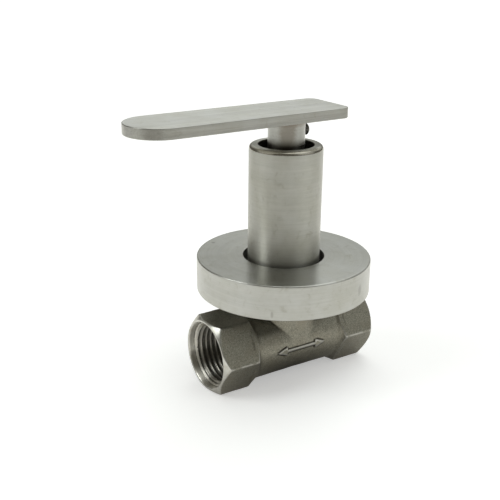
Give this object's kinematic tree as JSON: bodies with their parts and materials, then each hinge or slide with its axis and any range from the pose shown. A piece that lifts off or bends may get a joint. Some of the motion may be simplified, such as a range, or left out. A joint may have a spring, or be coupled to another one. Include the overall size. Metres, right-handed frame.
{
  "type": "concealed plug valve",
  "caption": "In-wall quarter-turn plug valve with female pipe threads, cover tube, sliding round escutcheon and flat stainless lever.",
  "frame": {"origin": "centre of the escutcheon's back (wall) face, on the stem's axis, with the escutcheon where the picture shows it", "axes": "+Z out of the wall along the stem, towards the lever; +X along the pipe; the lever's long nose points to -X when the valve is open"},
  "size_m": [0.0864, 0.058, 0.0909],
  "materials": {
    "cast_stainless": "matt investment casting",
    "brushed_stainless": "fine brushed",
    "machined_stainless": "turned",
    "spring_steel": "oiled",
    "set_screw_steel": "dark oxide",
    "ptfe": "smooth white",
    "nylon": "moulded",
    "black_rubber": "matt"
  },
  "bodies": {
    "valve": {"valve_body": "cast_stainless", "bottom_washer": "ptfe", "plug_sleeve": "ptfe", "sleeve_ring": "machined_stainless", "thrust_washer": "ptfe", "bonnet": "machined_stainless", "bonnet_o_ring": "black_rubber", "stem_bush": "ptfe", "neck_o_ring": "black_rubber", "cover_tube": "brushed_stainless", "guide_bush": "nylon"},
    "handle": {"plug": "machined_stainless", "stem": "machined_stainless", "stem_o_rings": "black_rubber", "stop_washer": "machined_stainless", "retaining_ring": "spring_steel", "extension_spindle": "machined_stainless", "spindle_pin": "spring_steel", "lever_hub": "machined_stainless", "lever_bar": "brushed_stainless", "set_screw": "set_screw_steel"},
    "grip_ring": {"escutcheon_o_ring": "black_rubber"},
    "wall_plate": {"escutcheon": "brushed_stainless", "escutcheon_gasket": "black_rubber"}
  },
  "joints": [
    {"name": "lever_turn", "type": "hinge", "parent": "valve", "child": "handle", "pos_m": [0, 0, 0], "axis": [0, 0, 1], "range_deg": [-90, 0]},
    {"name": "escutcheon_slide", "type": "slide", "parent": "valve", "child": "grip_ring", "axis": [0, 0, 1], "range_m": [-0.005, 0.036]},
    {"name": "escutcheon_turn", "type": "hinge", "parent": "grip_ring", "child": "wall_plate", "pos_m": [0, 0, 0], "axis": [0, 0, 1], "continuous": true}
  ]
}
